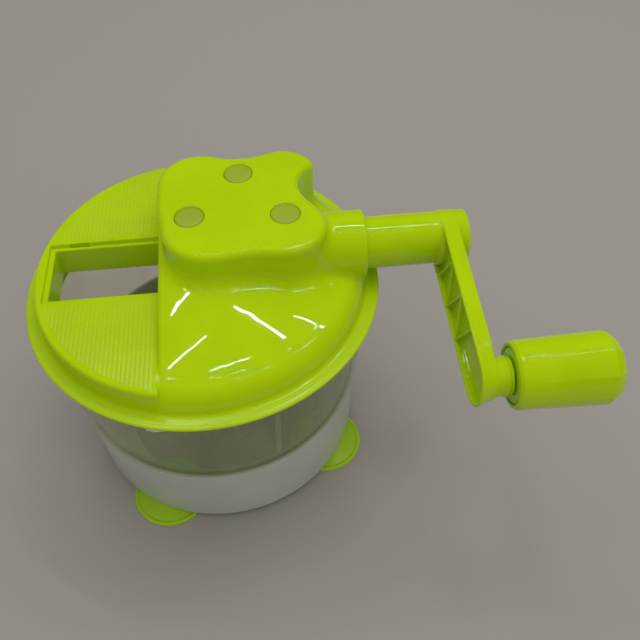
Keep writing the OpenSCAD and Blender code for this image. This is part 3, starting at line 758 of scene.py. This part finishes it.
def clear_plastic():
    """Thin clear plastic: see-through, with a faint tint, haze and wipe marks that show more
    at a slant."""
    material, nodes, links, principled = shader("clear", (0.56, 0.61, 0.42), 0.13)
    marks = noise_node(nodes, links, 180, 4, 0.6)
    links.new(spread(nodes, links, marks, 0.06, 0.2), principled.inputs["Roughness"])
    through = nodes.new("ShaderNodeBsdfTransparent")
    through.inputs["Color"].default_value = (0.98, 0.985, 0.925, 1)
    slant = nodes.new("ShaderNodeLayerWeight")
    slant.inputs["Blend"].default_value = 0.5
    edge = maths(nodes, links, "POWER", slant.outputs["Facing"], 3)
    wipes = noise_node(nodes, links, 34, 5, 0.62, (1, 1, 0.4))
    haze = maths(nodes, links, "ADD", spread(nodes, links, edge, 0.025, 0.6, 0, 1),
                 spread(nodes, links, wipes, 0, 0.1, 0.46, 0.68))
    mix = nodes.new("ShaderNodeMixShader")
    links.new(haze, mix.inputs["Fac"])
    links.new(through.outputs["BSDF"], mix.inputs[1])
    links.new(principled.outputs["BSDF"], mix.inputs[2])
    links.new(mix.outputs["Shader"], nodes["Material Output"].inputs["Surface"])
    return material


LIME_COLOUR = (0.5, 0.72, 0.005)
GLOSSY = {"gloss_drift": 0.012, "wave": 0.12, "IOR": 1.41}
LIME = moulded("lime", LIME_COLOUR, 0.035, **GLOSSY)
LID_LIME = moulded("lid_lime", LIME_COLOUR, 0.035, satin_from=LID_R + 1.4, **GLOSSY)
SATIN_LIME = moulded("satin_lime", LIME_COLOUR, 0.26, IOR=1.41)
MATERIALS = {
    "lime_plastic": LIME,
    "lime_plug": moulded("plug", (0.38, 0.49, 0.02), 0.38),
    "lime_feet": moulded("feet", (0.4, 0.66, 0.005), 0.3),
    "white_plastic": moulded("white", (0.54, 0.56, 0.5), 0.3, gloss_drift=0.02, wave=0.1),
    "clear_plastic": clear_plastic(),
    "gear_plastic": moulded("acetal", (0.75, 0.75, 0.7), 0.42),
    "blade_steel": moulded("blade_steel", (0.6, 0.61, 0.62), 0.3, Metallic=1.0),
    "screw_steel": moulded("screw_steel", (0.5, 0.5, 0.51), 0.35, Metallic=1.0),
}
SLOT_OF = {part["node"]: part["material_slot"] for part in frame["record"]["subparts"]}
BODY_OF = {node: body for body, nodes in frame["record"]["behaviour"]["bodies"].items()
           for node in nodes}


def stand_in(piece, node, material=None):
    """piece takes a CAD node's place and body, and the finish of the node's slot unless another is given."""
    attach(piece, BODY_OF[node])
    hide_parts(node)
    piece.data.materials.append(material or MATERIALS[SLOT_OF[node]])


for name, node in frame["nodes"].items():
    for slot in node.material_slots:
        slot.material = MATERIALS[SLOT_OF[name]]


# ---------- pieces ----------

def platform_ribs():
    """Broad low ribs along Y with narrow grooves, in front of and behind the slot."""
    half = RIB_PITCH / 2 - 0.17
    across = np.linspace(0, math.pi, 9)
    section = np.stack([-half * np.cos(across), 0.13 * np.sin(across) ** 0.6 - 0.03], 1)
    section = np.concatenate([section, [[half, -0.4], [-half, -0.4]]])
    reach = LID_R - 3.6
    first = SLOT_X0 + 2.2
    count = int((CHORD_X - 2.6 - first) / RIB_PITCH) + 1
    parts = []
    for side in (-1, 1):
        near = SLOT_Y + side * (SLOT_HALF + 2.2)
        for x in first + RIB_PITCH * np.arange(count):
            far = side * math.sqrt(reach ** 2 - x ** 2)
            if abs(far) < abs(near) + 2:
                continue
            rows = []
            for y, height in ((near, 0.2), (near + side * 0.5, 1), (far - side * 0.5, 1), (far, 0.2)):
                rows.append([(x + sx, y, PLATFORM_Z + (sz * height if sz > 0 else sz))
                             for sx, sz in section])
            parts.append(loft(rows) if side > 0 else turned_over(loft(rows)))
    return merged(parts)


def lid():
    reach = FLANGE_R + 1
    low = np.array([-reach, -reach, SKIRT_FOOT - 1])
    high = np.array([reach, reach, CRANK_Z + COLLAR_R + 1])
    moulding = smooth_mesh("lid_moulding", *surface_net(lid_distance, low, high, 0.55))
    stand_in(moulding, "lid", LID_LIME)
    ribs = smooth_mesh("platform_ribs", *platform_ribs())
    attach(ribs, "lid")
    ribs.data.materials.append(SATIN_LIME)


def gear_cover():
    net = surface_net(cover_distance, COVER_LOW - 1.5, COVER_HIGH + 1.5, 0.45)
    stand_in(smooth_mesh("gear_cover_moulding", *net), "gear_cover")


def crank():
    net = surface_net(crank_distance, CRANK_LOW - 1, CRANK_HIGH + 1, 0.45)
    stand_in(smooth_mesh("crank_moulding", *net), "crank")


def plugs():
    """Slightly domed plugs that sit a little below the cover's top."""
    edge_r = WELL_R - 0.04
    foot = COVER_Z - WELL_DEPTH + 0.1
    dome = [(r, COVER_Z - 0.1 - 0.25 * (r / WELL_R) ** 2) for r in np.linspace(0, edge_r - 0.7, 7)]
    edge = [(edge_r - 0.3, COVER_Z - 0.45), (edge_r - 0.05, COVER_Z - 0.75), (edge_r, COVER_Z - 1.1)]
    outline = np.array([(0.0, foot), (edge_r, foot), *reversed(edge), *reversed(dome)])
    stand_in(smooth_mesh("screw_plug_set", *at_centres(lathe(outline, 64), PLUGS)), "screw_plugs")


def bowl_rib(angle):
    """Low upright rib on the inner face of the bowl's wall; its ends run out into the wall."""
    section = rounded([(-1.2, -1.0, 0), (1.2, -1.0, 0), (1.0, 1.1, 0.45), (-1.0, 1.1, 0.45)], 4)
    out = np.array([math.cos(angle), math.sin(angle)])
    side = np.array([-out[1], out[0]])
    rows = []
    for z, swell in ((49, 0.1), (52, 1), (88, 1), (93, 0.1)):
        face = BOWL_IN_R + 0.2 + (z - BOWL_IN_Z) * BOWL_FLARE
        rows.append([(*(out * (face - depth * swell) + side * across), z) for across, depth in section])
    return turned_over(loft(rows))


def bowl():
    top = BOWL_TOP
    shoulder = RING_HIGH
    outline = rounded([
        (0, 8, 0), (62.5, 8, 4), (67.2, 16.5, 6), (69.4, shoulder + 0.2, 0.3),
        (72.3, shoulder + 0.3, 0.8), (77.5, top - 2, 0.5), (79.2, top - 1.8, 0.4), (79.2, top, 0.5),
        (75.4, top, 0.5), (BOWL_IN_R, BOWL_IN_Z, 1.2), (66.8, 44.6, 1.5), (64.6, 16.5, 4),
        (60.5, 10.4, 5), (38.6, 10.4, 0.5), (37.4, 11.4, 0.5), (9, 11.4, 1.5), (6.6, 14, 1),
        (6.5, PIN_TOP, 0.6), (PIN_R, PIN_TOP, 0.2), (PIN_R, PIN_Z, 0), (0, PIN_Z, 0)])
    ribs = [bowl_rib(math.radians(BOWL_RIB + 90 * quarter)) for quarter in range(4)]
    stand_in(smooth_mesh("bowl_moulding", *merged([lathe(outline, 256), *ribs])), "bowl")


def base_ring():
    low, high = RING_LOW, RING_HIGH
    outline = rounded([
        (BASE_IN_R, low, 0.4), (BASE_R, low, 0.9), (BASE_R + 1.3, high - 0.8, 0.5),
        (BASE_R + 0.5, high, 0.5), (BASE_R - 0.6, high - 0.3, 0.4), (BASE_R - 0.9, high - 1.4, 0.4),
        (BASE_R - 2, low + 3.2, 1), (BASE_R - 3.2, low + 2.2, 0.6), (BASE_IN_R, low + 2.2, 0.4)])
    stand_in(smooth_mesh("base_ring_moulding", *lathe(outline, 256)), "base_ring")


def feet():
    """Thin suction cups with a thick lip round a dished top, a quarter turn apart."""
    outline = rounded([
        (0, 1.8, 0), (16.6, 0.6, 0.3), (17.3, 0.0, 0.2), (19.4, 0.0, 0.2), (FOOT_R, 0.9, 0.3),
        (18.2, 1.75, 0.4), (17.2, 1.3, 0.5), (9, 3.0, 2), (4, 3.1, 0), (4, 5.5, 0), (5.6, 5.5, 0.2),
        (5.6, 6.3, 0.3), (4.4, 7.3, 0.4), (0, 7.3, 0)])
    first = -math.acos((FEET_REACH - FOOT_R) / FOOT_PITCH_R)
    turns = [first + quarter * math.pi / 2 for quarter in range(4)]
    centres = [(FOOT_PITCH_R * math.cos(turn), FOOT_PITCH_R * math.sin(turn)) for turn in turns]
    stand_in(smooth_mesh("suction_cup_set", *at_centres(lathe(outline, 96), centres)), "suction_feet")


def grip():
    """Barrel with a raised inner rim; its outer end runs into soft facets."""
    length = GRIP_HIGH[0] - GRIP_LOW[0]
    shoulder = length - 4.4
    end = length - 0.05

    def facets(angle, r, z):
        turn = (angle * GRIP_SIDES / (2 * math.pi) + 0.5) % 1 - 0.5
        flat = math.cos(math.pi / GRIP_SIDES * 0.9) / math.cos(2 * math.pi / GRIP_SIDES * turn * 0.9)
        along = np.clip((z - length * 0.1) / (length * 0.85), 0, 1)
        out = np.clip((r - 9.5) / 3, 0, 1)
        return r * (1 + along * out * (flat - 1) * 0.5)

    wall = [(GRIP_R0 + (GRIP_R1 - GRIP_R0) * t, 1.5 + (shoulder - 1.5) * t, 0)
            for t in np.linspace(0, 1, 14)[1:-1]]
    outline = rounded([
        (GRIP_BORE_R, 0.4, 0.2), (11.2, 0.4, 0.3), (11.4, 1.4, 0.1), (12, 1.4, 0.1), (12.2, 0.1, 0.3),
        (13.4, 0.1, 0.5), (GRIP_R0, 1.5, 0.8), *wall, (GRIP_R1, shoulder, 1.8),
        (GRIP_R1 - 2.9, end, 1.2), (CAP_R, end, 0.2), (CAP_R, length - 2, 0), (7.3, length - 2, 0),
        (7.3, length - 8.3, 0), (GRIP_BORE_R, length - 8.3, 0)])
    points, quads = lathe(outline, 216, facets)
    barrel = turned_to_x(points, GRIP_LOW[0], GRIP_Y, GRIP_Z)
    stand_in(smooth_mesh("grip_barrel", barrel, quads), "grip")


lid()
gear_cover()
crank()
plugs()
bowl()
base_ring()
feet()
grip()


# ---------- stage ----------

AIM = Vector((0, 0, 0.1))     # the large lamps point here
STRIP_Z = 1.2
STRIP_RADIANCE = 50
# narrow strips overhead, for crisp gloss: x, y, length and width in metres, and turn in degrees
STRIPS = [(0.233, 0.309, 0.363, 0.015, -36.9),
          (-0.184, 0.127, 0.3, 0.006, 40.3),
          (-0.207, 0.518, 0.28, 0.012, 54.5),
          (0.052, 0.019, 0.254, 0.004, 17.9),
          (0.18, -0.06, 0.254, 0.003, 22.7),
          (0.62, 0.33, 0.35, 0.009, -12),
          (0.62, 0.1, 0.35, 0.006, 8)]

# camera: looks down at the lid from the front, a little from the left
CAMERA_TARGET = Vector((0, 0, 0.06))
CAMERA_DISTANCE = 0.38821
CAMERA_PITCH = math.radians(50.52)
CAMERA_AZIMUTH = math.radians(-5.39)
CAMERA_ROLL = math.radians(-0.82)
CAMERA_RIGHT = 0.05406        # the camera stands this far right of and above the target
CAMERA_UP = 0.00972
SENSOR_WIDTH = 36
FOCAL_LENGTH = 42.1875


def floor():
    size = 3.0
    mesh = bpy.data.meshes.new("floor")
    mesh.from_pydata([(-size, -size, 0), (size, -size, 0), (size, size, 0), (-size, size, 0)],
                     [], [(0, 1, 2, 3)])
    mesh.materials.append(shader("paper", (0.4, 0.374, 0.344), 0.9)[0])
    plane = bpy.data.objects.new("floor", mesh)
    bpy.context.scene.collection.objects.link(plane)


def lamp(name, place, rotation, width, height, power):
    data = bpy.data.lights.new(name, "AREA")
    data.shape = "RECTANGLE"
    data.size = width
    data.size_y = height
    data.energy = power
    light = bpy.data.objects.new(name, data)
    bpy.context.scene.collection.objects.link(light)
    light.location = place
    light.rotation_euler = rotation
    return light


def soft_lamp(name, place, side, power):
    """Large square lamp that no reflection shows."""
    rotation = (AIM - Vector(place)).to_track_quat("-Z", "Y").to_euler()
    lamp(name, place, rotation, side, side, power).visible_glossy = False


def strip_lamp(x, y, length, width, turn):
    """Narrow lamp that hangs level and shines straight down."""
    power = STRIP_RADIANCE * math.pi * length * width
    lamp("strip", (x, y, STRIP_Z), (0, 0, math.radians(turn)), length, width, power)


def ambient_light():
    """Soft light from all round that no reflection shows, so the lime keeps its depth of colour."""
    world = bpy.data.worlds.new("studio")
    world.use_nodes = True
    background = world.node_tree.nodes["Background"]
    background.inputs["Color"].default_value = (1, 0.98, 0.95, 1)
    background.inputs["Strength"].default_value = 0.4
    bpy.context.scene.world = world
    world.cycles_visibility.glossy = False


def camera():
    level = math.cos(CAMERA_PITCH)
    back = Vector((math.sin(CAMERA_AZIMUTH) * level, -math.cos(CAMERA_AZIMUTH) * level,
                   math.sin(CAMERA_PITCH)))
    right = (-back).cross(Vector((0, 0, 1))).normalized()
    up = right.cross(-back)
    turned_right = math.cos(CAMERA_ROLL) * right + math.sin(CAMERA_ROLL) * up
    turned_up = -math.sin(CAMERA_ROLL) * right + math.cos(CAMERA_ROLL) * up
    data = bpy.data.cameras.new("camera")
    data.sensor_width = SENSOR_WIDTH
    data.lens = FOCAL_LENGTH
    data.clip_start = 0.01
    eye = bpy.data.objects.new("camera", data)
    bpy.context.scene.collection.objects.link(eye)
    place = CAMERA_TARGET + back * CAMERA_DISTANCE + turned_right * CAMERA_RIGHT + turned_up * CAMERA_UP
    axes = Matrix((turned_right, turned_up, back)).transposed().to_4x4()
    eye.matrix_world = Matrix.Translation(place) @ axes
    bpy.context.scene.camera = eye


floor()
camera()
soft_lamp("overhead", (0.05, 0.25, 1.2), 1.8, 4.5)
soft_lamp("front", (0.5, -0.9, 0.9), 1.6, 2.3)
for strip in STRIPS:
    strip_lamp(*strip)
ambient_light()
bpy.context.scene.view_settings.view_transform = "Standard"
bpy.context.scene.cycles.transparent_max_bounces = 24     # light crosses many clear walls
